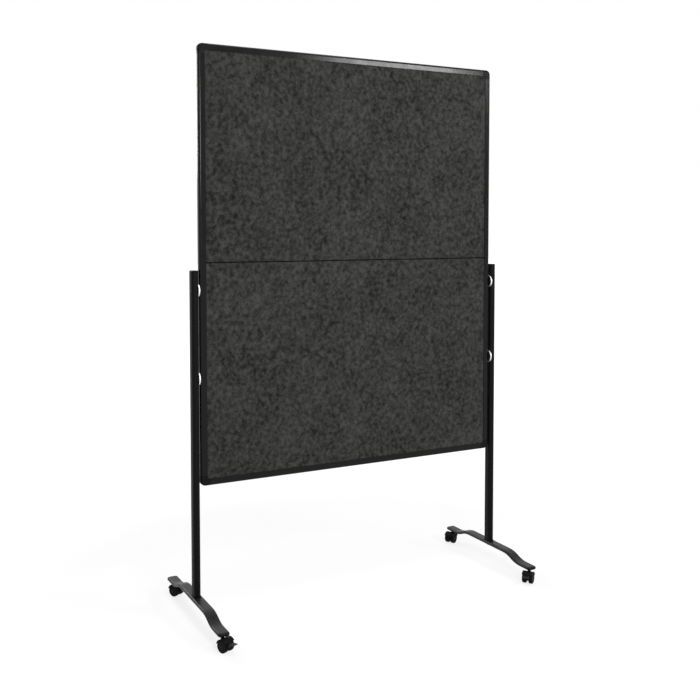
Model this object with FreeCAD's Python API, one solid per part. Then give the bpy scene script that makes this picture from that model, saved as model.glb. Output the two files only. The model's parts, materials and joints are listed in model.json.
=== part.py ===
import FreeCAD, Part
import math
import os

from FreeCAD import Vector

# Mobile pinboard in two felt-covered halves that fold at a seam, on two castored feet.
# Millimetres. +Z is up, +X is to the viewer's right and the front faces -Y.
# The origin is on the floor, below the middle of the board.

# Board
board_width = 1200.0
board_height = 1500.0
board_lift = 464.0  # floor to the board's lower edge
lower_height = 763.0  # lower edge to the middle of the seam
seam_gap = 0.2
felt_thickness = 2.5
felt_rise = 0.3  # front felt between the rails' lips above the felt under them
batten_height = 28.0
board_play = 0.4  # board edge to the floor of a rail's slot

# Frame rails, corner pieces and the plugs at the seam
rail_depth = 25.0
rail_wall = 1.8
chamber_width = 12.0
slot_depth = 8.4
lip_thickness = 2.0
edge_radius = 8.0
corner_radius = 18.0
corner_length = 36.0
spigot_length = 30.0
spigot_play = 0.1
plug_plate = 2.0
keeper_block = 13.0  # part of an upper plug outside its rail

# Hinges on the back of the seam
hinge_inset = 70.0  # board side to the middle of an outer hinge
hinge_length = 64.0
leaf_height = 24.0
leaf_thickness = 2.0
knuckle_radius = 4.0
knuckle_count = 5
knuckle_gap = 0.3
knuckle_clearance = 0.5  # knuckle to felt
hinge_pin_radius = 2.0
screw_spacing = 22.0
screw_drop = 14.0  # seam to a screw
screw_radius = 1.75
screw_head_radius = 3.5
screw_length = 14.0

# Locks: a bolt in each lower side rail, moved by a knob on the back
lock_radius = 3.0
lock_length = 60.0
lock_travel = 10.0
lock_recess = 0.6  # withdrawn bolt to the seam face
lock_seat = 0.2  # withdrawn bolt to the floor of its bore
lock_floor = 5.0
keeper_play = 1.2
keeper_spare = 1.5
knob_drop = 32.0  # top of the bolt to the knob
knob_stem_radius = 2.3
knob_width = 7.0
knob_height = 16.0
knob_rise = 2.4
knob_lift = 0.3  # knob to the rail's back
knob_rounding = 0.8

# Uprights: flat-oval tubes, deeper than wide
upright_width = 25.0
upright_depth = 40.0
upright_wall = 1.5
upright_gap = 3.9  # board side to an upright
upright_drop = 25.0  # seam to the top of an upright
cap_thickness = 4.0
cap_rounding = 1.2
cap_spigot = 16.0
flange_overhang = 2.0  # flange outside the upright
flange_height = 3.0
flange_skirt = 2.0  # flange below the top of the foot
base_spigot = 40.0

# Fixings between uprights and board
fixing_drop = 93.0  # seam to the upper fixings
fixing_spacing = 300.0
washer_radius = 21.0
washer_thickness = 1.2
disc_radius = 25.0
disc_wrap = 3.0  # how far a disc reaches round its upright
disc_rounding = 2.0
insert_height = 24.0
bolt_radius = 4.0
bolt_play = 0.3
bolt_head_radius = 6.5
bolt_head_height = 8.0
hex_key_flats = 6.0
hex_key_depth = 4.0
access_radius = 7.2
access_depth = 4.0

# Feet: flat-oval tube with a raised middle
foot_width = 40.0
foot_thickness = 12.0
foot_wall = 1.5
foot_overhang = 21.0  # castor's stem to a tip
foot_tongue = 38.0  # castor's stem to the end of a bend
foot_bend = 105.0  # level length of a bend
foot_drop = 22.0
foot_plug_radius = 11.0  # corners of a tip, seen from above
foot_plug_collar = 1.0  # straight part of a plug outside the tube
foot_plug_length = 42.0
foot_plug_land = 0.2  # flat left between a tip's rounded edges

# Castors
castor_reach = 258.0  # middle of a foot to a castor's stem
castor_trail = 15.0
wheel_radius = 20.5
wheel_width = 14.0
wheel_gap = 0.5
tread_rounding = 2.5
wheel_rim = 5.0
wheel_hub_radius = 7.0
wheel_recess = 2.0
web_width = 10.0
web_below_axle = 6.0
hood_clearance = 1.2
hood_thickness = 2.0
hood_overhang = 0.8
hood_front_angle = 165.0  # angles about the axle, from the trailing side upwards
hood_rear_angle = 30.0
hood_rear_angle_braked = 40.0
boss_radius = 6.0
boss_below_top = 16.0
swivel_gap = 5.3  # hood to foot
collar_flats = 14.0
collar_height = 3.0
collar_gap = 0.3
stem_radius = 3.0
stem_depth = 18.0
stud_radius = 5.0
stud_length = 9.5
axle_radius = 2.5
axle_grip = 10.0

# Brake pedals on the front castors
pedal_angle = 24.0  # pivot's place about the axle
pedal_tilt = 6.0  # released plate above level
pedal_pivot_gap = 2.0  # hood to the pivot's middle
pedal_lug_radius = 3.5
pedal_pin_radius = 1.5
pedal_length = 21.0
pedal_thickness = 2.5
pedal_tip_rounding = 1.0
pedal_half_width = 11.0
pedal_ear = 3.0
pedal_play = 0.3
pedal_room = 6.0  # degrees from the pivot to where the web is cut back
shoe_start = -0.8
shoe_thickness = 3.0
shoe_drop = 8.0

# Fits
running_clearance = 0.05
seat_clearance = 0.02

# Castor trail directions at rest, in degrees from +X
swivel_rest = {"front_left": -68.0, "rear_left": -62.0, "front_right": 216.0, "rear_right": 208.0}
braked = ("front_left", "front_right")

X = Vector(1, 0, 0)
Y = Vector(0, 1, 0)
Z = Vector(0, 0, 1)
ORIGIN = Vector(0, 0, 0)

# Places worked out from the sizes above
half_depth = rail_depth / 2
half_slot = half_depth - lip_thickness
half_core = half_slot - felt_thickness
slot_floor = rail_wall + chamber_width + rail_wall
rail_face = slot_floor + slot_depth
side = board_width / 2
board_top = board_lift + board_height
seam = board_lift + lower_height
lower_edge = seam - seam_gap / 2
upper_edge = seam + seam_gap / 2
board_side = side - slot_floor - board_play
hinge_axis_y = half_slot + knuckle_clearance + knuckle_radius
leaf_back = half_slot + leaf_thickness
hinge_places = (hinge_inset - side, 0.0, side - hinge_inset)
lock_x = rail_wall + chamber_width / 2 - side
lock_top = lower_edge - lock_recess
lock_low = lock_top - lock_length
knob_z = lock_top - knob_drop
upright_half = upright_width / 2
upright_x = side + upright_gap + upright_half
upright_top = seam - upright_drop
fixing_heights = (seam - fixing_drop, seam - fixing_drop - fixing_spacing)
hood_inner = wheel_radius + hood_clearance
hood_outer = hood_inner + hood_thickness
castor_height = wheel_radius + hood_outer + swivel_gap
boss_top = castor_height - collar_height - collar_gap
wheel_inside = web_width / 2 + wheel_gap
wheel_outside = wheel_inside + wheel_width
hood_half = wheel_outside + hood_overhang
tongue_middle = castor_height + foot_thickness / 2
foot_middle = tongue_middle + foot_drop
foot_top = foot_middle + foot_thickness / 2
foot_reach = castor_reach + foot_overhang
foot_bend_end = castor_reach - foot_tongue
foot_flat = foot_bend_end - foot_bend
foot_plug_plate = foot_plug_radius + foot_plug_collar
tube_end = foot_reach - foot_plug_plate
pedal_pivot_radius = hood_outer + pedal_pivot_gap


def block(x, y, z):
    """Box between a pair of limits along each axis."""
    (x0, x1), (y0, y1), (z0, z1) = sorted(x), sorted(y), sorted(z)
    return Part.makeBox(x1 - x0, y1 - y0, z1 - z0, Vector(x0, y0, z0))


def rod(radius, start, along):
    """Cylinder from a start point along a vector."""
    return Part.makeCylinder(radius, along.Length, start, along)


def hexagon(flats, start, along):
    """Hexagonal prism around the Z or X axis through its start point."""
    corner = flats / math.sqrt(3)
    across = Y if abs(along.z) < abs(along.x) else X
    up = along.cross(across).normalize()
    turns = [math.radians(60 * i) for i in range(7)]
    points = [start + across * corner * math.cos(t) + up * corner * math.sin(t) for t in turns]
    return Part.Face(Part.makePolygon(points)).extrude(along)


def flat_oval(length, width, along, across):
    """Face with straight sides and half-round ends, around the origin."""
    radius = width / 2
    flat = (length - width) / 2
    corners = [across * radius - along * flat, across * radius + along * flat]
    corners += [along * flat - across * radius, -along * flat - across * radius]
    edges = [
        Part.LineSegment(corners[0], corners[1]),
        Part.Arc(corners[1], along * (flat + radius), corners[2]),
        Part.LineSegment(corners[2], corners[3]),
        Part.Arc(corners[3], along * -(flat + radius), corners[0]),
    ]
    return Part.Face(Part.Wire([edge.toShape() for edge in edges]))


def rounded_rims(solid, radius, rounding):
    """Round the circular edges of one radius."""
    rims = [e for e in solid.Edges if e.Curve.TypeId == "Part::GeomCircle"]
    return solid.makeFillet(rounding, [e for e in rims if abs(e.Curve.Radius - radius) < 1e-6])


def turned(shape, axis, degrees, shift):
    """Copy, turned about an axis through the origin and then moved."""
    copy = shape.copy()
    copy.rotate(ORIGIN, axis, degrees)
    copy.translate(shift)
    return copy


def mirrored(shape):
    """The right side's copy of a left side's piece."""
    return shape.mirror(ORIGIN, X)


def both_sides(pieces):
    """The left side's pieces and their right side's copies."""
    return pieces + [mirrored(piece) for piece in pieces]


def save(node, *shapes):
    """Write the solids of one sub-part."""
    solids = [solid for shape in shapes for solid in shape.Solids]
    Part.makeCompound(solids).exportStep("parts/%s.step" % node)
    print(node, len(solids), round(sum(s.Volume for s in solids)), all(s.isValid() for s in solids))


# Frame

def d_outline(near, far, half, radius):
    """Outline that is square at far and has both edges rounded at near."""
    inset = radius * (1 - math.sqrt(0.5))
    front = [Vector(far, -half), Vector(near + radius, -half), Vector(near, radius - half)]
    back = [Vector(near, half - radius), Vector(near + radius, half), Vector(far, half)]
    edges = [
        Part.LineSegment(front[0], front[1]),
        Part.Arc(front[1], Vector(near + inset, inset - half), front[2]),
        Part.LineSegment(front[2], back[0]),
        Part.Arc(back[0], Vector(near + inset, half - inset), back[1]),
        Part.LineSegment(back[1], back[2]),
        Part.LineSegment(back[2], front[0]),
    ]
    return Part.Face(Part.Wire([edge.toShape() for edge in edges]))


def outer_section(far, low, high):
    """A rail's outer shape between two heights, outer side at x = 0."""
    face = d_outline(0, far, half_depth, edge_radius)
    face.translate(Z * low)
    return face.extrude(Z * (high - low))


def chamber_section(play, low, high):
    """What fills a rail's chamber between two heights, less some play."""
    inset = rail_wall + play
    face = d_outline(inset, slot_floor - inset, half_depth - inset, edge_radius - inset)
    face.translate(Z * low)
    return face.extrude(Z * (high - low))


def slot_section(low, high):
    """The slot that holds the board between two heights."""
    return block((slot_floor, rail_face), (-half_slot, half_slot), (low, high))


def rail(length):
    """Hollow rail along Z, outer side at x = 0 and slot towards +X."""
    solid = outer_section(rail_face, 0, length).cut(chamber_section(0, 0, length))
    return solid.cut(slot_section(0, length))


def lower_side_rail():
    low = board_lift + corner_length
    solid = rail(lower_edge - plug_plate - low)
    solid.translate(Vector(-side, 0, low))
    for z in fixing_heights:
        solid = solid.cut(rod(bolt_radius + bolt_play, Vector(-side, 0, z), X * chamber_width))
    return solid.cut(knob_slot())


def upper_side_rail():
    low = upper_edge + keeper_block
    solid = rail(board_top - corner_length - low)
    solid.translate(Vector(-side, 0, low))
    return solid


def cross_rail(turn, z):
    """Bottom or top rail between the corner pieces."""
    length = board_width - 2 * corner_length
    solid = rail(length)
    solid.translate(Z * (-length / 2))
    return turned(solid, Y, turn, Z * z)


def corner_piece():
    """Lower left corner piece with its outer corner at the origin."""
    axis = Vector(corner_radius, 0, corner_radius)
    face = d_outline(0, corner_radius, half_depth, edge_radius)
    face.translate(Z * corner_radius)
    bend = face.revolve(axis, Y, -90)
    spigot = chamber_section(spigot_play, corner_length, corner_length + spigot_length)
    upright_leg = outer_section(rail_face, corner_radius, corner_length).fuse(spigot)
    level_leg = upright_leg.mirror(ORIGIN, Vector(1, 0, -1))
    pocket = (slot_floor, corner_length)
    solid = bend.fuse([upright_leg, level_leg])
    return solid.cut(block(pocket, (-half_slot, half_slot), pocket)).removeSplitter()


def end_plug(edge, way, plate, length):
    """Plug in a left rail's end at the seam; way leads from the seam into the rail."""
    solid = outer_section(rail_face, 0, plate).cut(slot_section(0, plate))
    solid = solid.fuse(chamber_section(spigot_play, plate, plate + length))
    if way < 0:
        solid = solid.mirror(ORIGIN, Z)
    solid.translate(Vector(-side, 0, edge))
    return solid


def lower_end_plug():
    bore_low = lock_low - lock_seat
    length = lower_edge - plug_plate - bore_low + lock_floor
    bore = rod(lock_radius + running_clearance, Vector(lock_x, 0, bore_low), Z * (lower_edge - bore_low))
    return end_plug(lower_edge, -1, plug_plate, length).cut(bore).cut(knob_slot())


def upper_end_plug():
    half = lock_radius + keeper_play
    across = (lock_x - half, lock_x + half)
    keeper = block(across, (-half, half), (upper_edge, upper_edge + lock_travel + keeper_spare))
    return end_plug(upper_edge, 1, keeper_block, spigot_length).cut(keeper)


# Board halves

def board_half(outer_edge, seam_edge):
    """Core, batten, front felt raised between the lips and turned in at the seam, and back felt."""
    into = math.copysign(1, outer_edge - seam_edge)
    turn_in = seam_edge + into * felt_thickness
    batten_end = turn_in + into * batten_height
    across = (-board_side, board_side)
    inside = (-half_core, half_core)
    core = block(across, inside, (outer_edge, batten_end))
    batten = block(across, inside, (batten_end, turn_in))
    front = block(across, (-half_slot, -half_core), (outer_edge, seam_edge))
    raised_across = (slot_depth - board_side, board_side - slot_depth)
    raised_depth = (-half_slot - felt_rise, -half_slot)
    raised = block(raised_across, raised_depth, (outer_edge - into * slot_depth, seam_edge))
    front = front.fuse([raised, block(across, inside, (turn_in, seam_edge))]).removeSplitter()
    back = block(across, (half_core, half_slot), (outer_edge, seam_edge))
    for hole in hinge_screws(into, seat_clearance):
        batten = batten.cut(hole)
        back = back.cut(hole)
    return {"core": core, "batten": batten, "felt_front": front, "felt_back": back}


# Hinges

def hinge_screws(way, play):
    """Countersunk screws of the leaves above (1) or below (-1) the seam."""
    screws = []
    for middle in hinge_places:
        for step in (-1, 0, 1):
            start = Vector(middle + step * screw_spacing, leaf_back, seam + way * screw_drop)
            depth = screw_head_radius - screw_radius
            head = Part.makeCone(screw_head_radius + play, screw_radius + play, depth, start, -Y)
            screws.append(head.fuse(rod(screw_radius + play, start, -Y * screw_length)).removeSplitter())
    return screws


def hinge_leaf(way, clearance):
    """Leaf with every second knuckle, middle at x = 0."""
    plate_z = (seam + way * (knuckle_radius + knuckle_clearance), seam + way * leaf_height)
    plate_y = (half_slot, leaf_back)
    leaf = block((-hinge_length / 2, hinge_length / 2), plate_y, plate_z)
    pitch = (hinge_length + knuckle_gap) / knuckle_count
    for i in range(0 if way < 0 else 1, knuckle_count, 2):
        start = i * pitch - hinge_length / 2
        width = pitch - knuckle_gap
        tongue = block((start, start + width), plate_y, (seam, plate_z[0]))
        knuckle = rod(knuckle_radius, Vector(start, hinge_axis_y, seam), X * width)
        leaf = leaf.fuse([tongue, knuckle])
    bore = rod(hinge_pin_radius + clearance, Vector(-hinge_length, hinge_axis_y, seam), X * 2 * hinge_length)
    return leaf.cut(bore).removeSplitter()


def hinge_leaves(way, clearance):
    holes = Part.makeCompound(hinge_screws(way, seat_clearance))
    leaf = hinge_leaf(way, clearance)
    return [turned(leaf, Z, 0, X * middle).cut(holes) for middle in hinge_places]


def hinge_pins():
    starts = [Vector(x - hinge_length / 2, hinge_axis_y, seam) for x in hinge_places]
    return [rod(hinge_pin_radius, start, X * hinge_length) for start in starts]


# Locks

def knob_slot():
    """Way of a left knob's stem through the back of its rail and plug."""
    half = knob_stem_radius + knob_lift
    across = (lock_x - half, lock_x + half)
    return block(across, (0, half_depth), (knob_z - half, knob_z + lock_travel + half))


def lock_bolt():
    """Left bolt with its stem and knob, withdrawn."""
    bolt = rod(lock_radius, Vector(lock_x, 0, lock_low), Z * lock_length)
    knob_y = half_depth + knob_lift
    stem = rod(knob_stem_radius, Vector(lock_x, 0, knob_z), Y * knob_y)
    across = (lock_x - knob_width / 2, lock_x + knob_width / 2)
    knob = block(across, (knob_y, knob_y + knob_rise), (knob_z - knob_height / 2, knob_z + knob_height / 2))
    knob = knob.makeFillet(knob_rounding, knob.Edges)
    return bolt.fuse([stem, knob]).removeSplitter()


# Uprights and their fixings, on the left

def upright_bar(inset, low, high):
    """The left upright's section at some inset, between two heights."""
    face = flat_oval(upright_depth - 2 * inset, upright_width - 2 * inset, Y, X)
    face.translate(Vector(-upright_x, 0, low))
    return face.extrude(Z * (high - low))


def upright():
    low, high = foot_top + flange_height, upright_top - cap_thickness
    tube = upright_bar(0, low, high).cut(upright_bar(upright_wall, low, high))
    for z in fixing_heights:
        middle = Vector(-upright_x, 0, z)
        tube = tube.cut(rod(bolt_radius + bolt_play, middle, X * upright_width))
        tube = tube.cut(rod(access_radius, middle, -X * upright_width))
    return tube


def upright_cap():
    low = upright_top - cap_thickness
    top = upright_bar(0, low, upright_top)
    top = top.makeFillet(cap_rounding, [e for e in top.Edges if e.BoundBox.ZMin > low + cap_thickness / 2])
    return top.fuse(upright_bar(upright_wall + spigot_play, low - cap_spigot, low))


def base_plug():
    """Plug in an upright's lower end, with a flange that fits the foot."""
    low = foot_top - flange_skirt
    flange = upright_bar(-flange_overhang, low, foot_top + flange_height)
    plug = flange.fuse(upright_bar(upright_wall + spigot_play, low, foot_top + base_spigot))
    reach = upright_depth / 2 + flange_overhang
    seat = foot_outline(0).extrude(Y * 2 * reach)
    seat.translate(Vector(-upright_x, -reach, foot_middle))
    bore = rod(bolt_radius + seat_clearance, Vector(-upright_x, 0, low), Z * (flange_skirt + base_spigot))
    return plug.cut(seat).cut(bore)


def bolt(start, direction, length):
    """Socket-head bolt with its shank from the start point along a direction."""
    shank = rod(bolt_radius, start, direction * length)
    head = rod(bolt_head_radius, start, direction * -bolt_head_height)
    end = start - direction * bolt_head_height
    socket = hexagon(hex_key_flats, end, direction * hex_key_depth)
    return head.cut(socket).fuse(shank).removeSplitter()


def board_bolts():
    """Bolts whose heads bear on the inside of the left upright."""
    head_x = upright_half - upright_wall - running_clearance - upright_x
    length = slot_floor - rail_wall - side - head_x
    return [bolt(Vector(head_x, 0, z), X, length) for z in fixing_heights]


def rail_inserts():
    inserts = []
    for z in fixing_heights:
        insert = chamber_section(spigot_play, z - insert_height / 2, z + insert_height / 2)
        insert.translate(X * -side)
        hole = rod(bolt_radius + seat_clearance, Vector(-side, 0, z), X * slot_floor)
        inserts.append(insert.cut(hole))
    return inserts


def washers():
    rings = []
    for z in fixing_heights:
        start = Vector(-side, 0, z)
        ring = rod(washer_radius, start, -X * washer_thickness)
        rings.append(ring.cut(rod(bolt_radius + bolt_play, start, -X * washer_thickness)))
    return rings


def spacer_discs():
    """Discs hollowed to seat on the left upright."""
    discs = []
    thickness = upright_gap - washer_thickness + disc_wrap
    groove = upright_bar(-seat_clearance, 0, board_top)
    for z in fixing_heights:
        start = Vector(-side - washer_thickness, 0, z)
        disc = rounded_rims(rod(disc_radius, start, -X * thickness), disc_radius, disc_rounding)
        discs.append(disc.cut(groove).cut(rod(bolt_radius + bolt_play, start, -X * thickness)))
    return discs


def access_plugs():
    """Plugs that close the access holes flush with the left upright."""
    plugs = []
    for z in fixing_heights:
        limits = (z - access_radius, z + access_radius)
        plug = rod(access_radius - seat_clearance, Vector(-upright_x, 0, z), -X * upright_width)
        plugs.append(plug.common(upright_bar(0, *limits)).cut(upright_bar(access_depth, *limits)))
    return plugs


# Feet, on the left

def foot_outline(inset):
    """A foot's section at some inset, around the origin."""
    return flat_oval(foot_width - 2 * inset, foot_thickness - 2 * inset, X, Z)


def foot_path():
    """Middle line of a foot from the front tip to the rear one, two arcs to a bend."""
    run = foot_bend_end - foot_flat
    radius = (run ** 2 + foot_drop ** 2) / (4 * foot_drop)
    half_turn = math.atan(foot_drop / run)

    def outer(turn):
        return foot_bend_end - radius * math.sin(turn), tongue_middle + radius * (1 - math.cos(turn))

    def inner(turn):
        return foot_flat + radius * math.sin(turn), foot_middle - radius * (1 - math.cos(turn))

    tip = (tube_end, tongue_middle)
    half = [tip, outer(0), outer(half_turn), outer(2 * half_turn), inner(half_turn), inner(0)]
    front = [Vector(-upright_x, -y, z) for y, z in half]
    rear = [Vector(-upright_x, y, z) for y, z in half]
    edges = [
        Part.LineSegment(front[0], front[1]),
        Part.Arc(front[1], front[2], front[3]),
        Part.Arc(front[3], front[4], front[5]),
        Part.LineSegment(front[5], rear[5]),
        Part.Arc(rear[5], rear[4], rear[3]),
        Part.Arc(rear[3], rear[2], rear[1]),
        Part.LineSegment(rear[1], rear[0]),
    ]
    return Part.Wire([edge.toShape() for edge in edges])


def swept_foot(inset):
    """The foot's outer shape, or its bore at some inset."""
    outline = foot_outline(inset).OuterWire
    outline.translate(Vector(-upright_x, -tube_end, tongue_middle))
    pipe = Part.BRepOffsetAPI.MakePipeShell(foot_path())
    pipe.setBiNormalMode(X)
    pipe.add(outline)
    pipe.build()
    pipe.makeSolid()
    return pipe.shape()


def foot():
    tube = swept_foot(0).cut(swept_foot(foot_wall))
    through = rod(bolt_radius + bolt_play, Vector(-upright_x, 0, foot_top - foot_thickness), Z * foot_thickness)
    tube = tube.cut(through)
    for y in (-castor_reach, castor_reach):
        start = Vector(-upright_x, y, castor_height)
        tube = tube.cut(rod(stud_radius + bolt_play, start, Z * foot_thickness / 2))
    return tube


def foot_tip():
    """End of a plug outside the tube, rounded all along its edge, from y = 0."""
    half = foot_width / 2
    height = foot_thickness / 2
    tip = block((-half, half), (0, foot_plug_plate), (-height, height))
    corners = [e for e in tip.Edges if e.BoundBox.ZLength > height and e.BoundBox.YMin > foot_plug_collar]
    tip = tip.makeFillet(foot_plug_radius, corners)
    rims = [e for e in tip.Edges if e.BoundBox.ZLength < height and e.BoundBox.YMax > foot_plug_collar / 2]
    return tip.makeFillet(height - foot_plug_land / 2, rims)


def foot_plugs():
    """End plugs that also hold the castor studs."""
    plug = foot_tip().fuse(foot_outline(foot_wall + spigot_play).extrude(-Y * foot_plug_length))
    bore_y = castor_reach - tube_end
    bore = rod(stud_radius + seat_clearance, Vector(0, bore_y, -foot_thickness / 2), Z * stud_length)
    plug = plug.cut(bore)
    spots = ((180, -tube_end), (0, tube_end))
    return [turned(plug, Z, turn, Vector(-upright_x, y, tongue_middle)) for turn, y in spots]


def foot_bolt():
    length = foot_thickness + base_spigot
    return bolt(Vector(-upright_x, 0, foot_top - foot_thickness), Z, length)


# Castors: swivel axis on Z, trail along +X, axle along Y

def around_axle(radius, degrees, y=0.0):
    """Point at a distance and an angle from the axle."""
    turn = math.radians(degrees)
    return Vector(castor_trail + radius * math.cos(turn), y, wheel_radius + radius * math.sin(turn))


def ring(inner, outer, low_angle, high_angle, half):
    """Part of a ring about the axle between two angles."""
    angles = (low_angle, (low_angle + high_angle) / 2, high_angle)
    outside = [around_axle(outer, a, -half) for a in angles]
    inside = [around_axle(inner, a, -half) for a in angles]
    edges = [
        Part.Arc(outside[0], outside[1], outside[2]),
        Part.LineSegment(outside[2], inside[2]),
        Part.Arc(inside[2], inside[1], inside[0]),
        Part.LineSegment(inside[0], outside[0]),
    ]
    return Part.Face(Part.Wire([edge.toShape() for edge in edges])).extrude(Y * 2 * half)


def castor_web(has_brake):
    """Upright disc between the wheels, cut back under a pedal."""
    half = web_width / 2
    disc = rod(hood_outer, around_axle(0, 0, -half), Y * web_width)
    upper = block(
        (castor_trail - hood_outer, castor_trail + hood_outer),
        (-half, half),
        (wheel_radius - web_below_axle, wheel_radius + hood_outer),
    )
    web = disc.common(upper)
    if has_brake:
        web = web.cut(ring(wheel_radius, pedal_pivot_radius, -90, pedal_angle - pedal_room, half))
    return web


def castor_housing(has_brake):
    """Web between the wheels with the hood, the swivel boss and the pedal's lug."""
    half_web = web_width / 2
    boss = rod(boss_radius, Z * (boss_top - boss_below_top), Z * boss_below_top)
    for start in (wheel_inside, -wheel_inside - hood_half):
        boss = boss.cut(rod(hood_inner, around_axle(0, 0, start - wheel_gap / 2), Y * (hood_half + wheel_gap)))
    rear_angle = hood_rear_angle_braked if has_brake else hood_rear_angle
    hood = ring(hood_inner, hood_outer, rear_angle, hood_front_angle, hood_half)
    body = castor_web(has_brake).fuse([hood, boss])
    if has_brake:
        pivot = around_axle(pedal_pivot_radius, pedal_angle, -half_web)
        body = body.fuse(rod(pedal_lug_radius, pivot, Y * web_width))
        body = body.cut(rod(pedal_pin_radius + running_clearance, pivot, Y * web_width))
    stem_hole = rod(stem_radius + running_clearance, Z * (boss_top - stem_depth), Z * 2 * stem_depth)
    axle_hole = rod(axle_radius + seat_clearance, around_axle(0, 0, -half_web), Y * web_width)
    return body.cut(stem_hole).cut(axle_hole).removeSplitter()


def castor_stem():
    """Swivel pin, hexagonal collar against the foot, and stud into the foot's plug."""
    collar_low = boss_top + collar_gap
    pin = rod(stem_radius, Z * (boss_top - stem_depth + collar_gap), Z * stem_depth)
    collar = hexagon(collar_flats, Z * collar_low, Z * collar_height)
    stud = rod(stud_radius, Z * castor_height, Z * (stud_length - seat_clearance))
    return collar.fuse([pin, stud]).removeSplitter()


def castor_axle():
    half = wheel_inside + axle_grip
    return rod(axle_radius, around_axle(0, 0, -half), Y * 2 * half)


def castor_wheel():
    """Wheel on the +Y side, with a dished outer face and a blind bore."""
    start = around_axle(0, 0, wheel_inside)
    wheel = rounded_rims(rod(wheel_radius, start, Y * wheel_width), wheel_radius, tread_rounding)
    dish_start = around_axle(0, 0, wheel_outside - wheel_recess)
    dish = rod(wheel_radius - wheel_rim, dish_start, Y * wheel_recess)
    dish = dish.cut(rod(wheel_hub_radius, dish_start, Y * wheel_recess))
    bore = rod(axle_radius + running_clearance, start, Y * (axle_grip + wheel_gap))
    return wheel.cut(dish).cut(bore)


def brake_pedal():
    """Released pedal: a plate with two ears on its pin and a shoe below each ear."""
    ear_inside = web_width / 2 + pedal_play
    ear_outside = ear_inside + pedal_ear
    half = pedal_thickness / 2
    plate_start = pedal_lug_radius + pedal_play
    plate = block((plate_start, pedal_length), (-pedal_half_width, pedal_half_width), (-half, half))
    tip = [e for e in plate.Edges if e.BoundBox.XMin > pedal_length - pedal_tip_rounding]
    plate = plate.makeFillet(pedal_tip_rounding, tip)
    pieces = [rod(pedal_pin_radius, -Y * ear_outside, Y * 2 * ear_outside)]
    for way in (-1, 1):
        ear = (way * ear_inside, way * ear_outside)
        pieces.append(block((0, plate_start + half), ear, (-half, half)))
        pieces.append(rod(pedal_lug_radius - pedal_play, Y * ear[0], Y * (ear[1] - ear[0])))
        shoe_y = (way * ear_inside, way * pedal_half_width)
        pieces.append(block((shoe_start, shoe_start + shoe_thickness), shoe_y, (-shoe_drop, half)))
    pedal = plate.fuse(pieces).removeSplitter()
    pivot = around_axle(pedal_pivot_radius, pedal_angle)
    return turned(pedal, Y, -pedal_tilt, pivot)


def castor_spot(name):
    """Where a castor's swivel axis meets the floor."""
    x = upright_x if name.endswith("right") else -upright_x
    y = castor_reach if name.startswith("rear") else -castor_reach
    return Vector(x, y, 0)


def at_castor(shape, name):
    return turned(shape, Z, swivel_rest[name], castor_spot(name))


def build_board():
    left_rail = lower_side_rail()
    save("lower_left_rail", left_rail)
    save("lower_right_rail", mirrored(left_rail))
    left_rail = upper_side_rail()
    save("upper_left_rail", left_rail)
    save("upper_right_rail", mirrored(left_rail))
    save("bottom_rail", cross_rail(-90, board_lift))
    save("top_rail", cross_rail(90, board_top))
    corner = corner_piece()
    save("bottom_left_corner", turned(corner, Y, 0, Vector(-side, 0, board_lift)))
    save("bottom_right_corner", turned(corner, Y, -90, Vector(side, 0, board_lift)))
    save("top_left_corner", turned(corner, Y, 90, Vector(-side, 0, board_top)))
    save("top_right_corner", turned(corner, Y, 180, Vector(side, 0, board_top)))
    save("lower_end_plugs", *both_sides([lower_end_plug()]))
    save("upper_end_plugs", *both_sides([upper_end_plug()]))
    inset = slot_floor + board_play
    for piece, shape in board_half(board_lift + inset, lower_edge).items():
        save("lower_" + piece, shape)
    for piece, shape in board_half(board_top - inset, upper_edge).items():
        save("upper_" + piece, shape)


def build_hinges_and_locks():
    save("hinge_lower_leaves", *hinge_leaves(-1, seat_clearance))
    save("hinge_upper_leaves", *hinge_leaves(1, running_clearance))
    save("hinge_pins", *hinge_pins())
    save("hinge_lower_screws", *hinge_screws(-1, 0))
    save("hinge_upper_screws", *hinge_screws(1, 0))
    left_lock = lock_bolt()
    save("left_lock_bolt", left_lock)
    save("right_lock_bolt", mirrored(left_lock))


def build_stand():
    left_upright = upright()
    save("left_upright", left_upright)
    save("right_upright", mirrored(left_upright))
    save("upright_caps", *both_sides([upright_cap()]))
    save("upright_base_plugs", *both_sides([base_plug()]))
    save("board_bolts", *both_sides(board_bolts()))
    save("rail_inserts", *both_sides(rail_inserts()))
    save("spacer_washers", *both_sides(washers()))
    save("spacer_discs", *both_sides(spacer_discs()))
    save("access_plugs", *both_sides(access_plugs()))
    left_foot = foot()
    save("left_foot", left_foot)
    save("right_foot", mirrored(left_foot))
    save("foot_end_plugs", *both_sides(foot_plugs()))
    save("foot_bolts", *both_sides([foot_bolt()]))


def build_castors():
    save("castor_stems", *[at_castor(castor_stem(), name) for name in swivel_rest])
    wheel = castor_wheel()
    for name in swivel_rest:
        save(name + "_castor_housing", at_castor(castor_housing(name in braked), name))
        save(name + "_castor_axle", at_castor(castor_axle(), name))
        save(name + "_wheel_a", at_castor(wheel, name))
        save(name + "_wheel_b", at_castor(wheel.mirror(ORIGIN, Y), name))
        if name in braked:
            save(name + "_brake_pedal", at_castor(brake_pedal(), name))


os.makedirs("parts", exist_ok=True)
build_board()
build_hinges_and_locks()
build_stand()
build_castors()
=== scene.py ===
import json
import math

import bmesh
import bpy
from mathutils import Matrix, Vector, noise


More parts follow.
